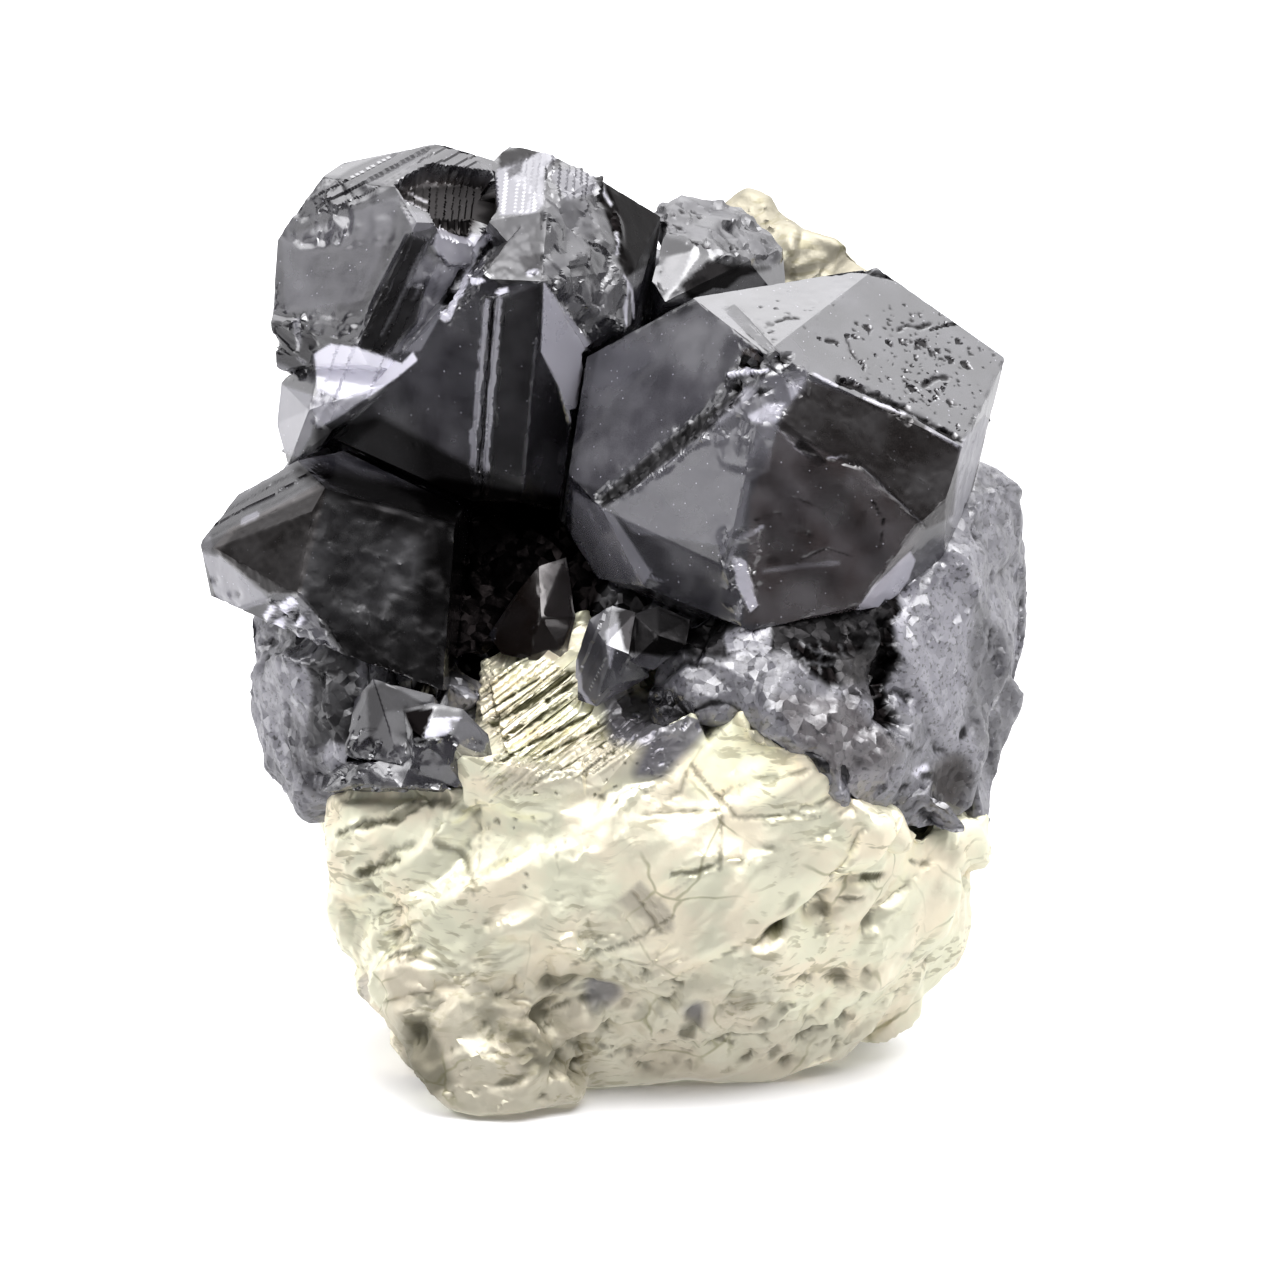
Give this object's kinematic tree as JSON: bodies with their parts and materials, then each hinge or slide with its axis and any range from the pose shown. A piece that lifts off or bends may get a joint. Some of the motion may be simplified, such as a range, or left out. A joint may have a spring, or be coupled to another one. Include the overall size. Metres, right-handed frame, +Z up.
{
  "type": "sphalerite and pyrite specimen",
  "caption": "Hand-sized mineral specimen: dark flat-faced sphalerite crystals grown on a rough pale pyrite base, cut flat underneath so that it stands.",
  "frame": {"origin": "middle of the flat cut underneath, on the surface that the specimen stands on", "axes": "+Z up from the cut, -Y towards the best side with the large crystal, +X to the right as seen from there"},
  "size_m": [0.036, 0.028, 0.0401],
  "materials": {
    "pyrite": "metallic pale brass, broken and finely striated",
    "massive_sphalerite": "dark grey, rough cleaved, glittering",
    "sphalerite_crystal": "near black, resinous to sub-metallic gloss, flat faces"
  },
  "bodies": {
    "root": {"pyrite_matrix": "pyrite", "massive_sphalerite": "massive_sphalerite", "large_crystal": "sphalerite_crystal", "twinned_crystals": "sphalerite_crystal", "left_crystal": "sphalerite_crystal", "upper_crystal": "sphalerite_crystal", "lower_left_crystals": "sphalerite_crystal", "centre_crystals": "sphalerite_crystal", "cleft_crystals": "sphalerite_crystal"}
  },
  "joints": []
}
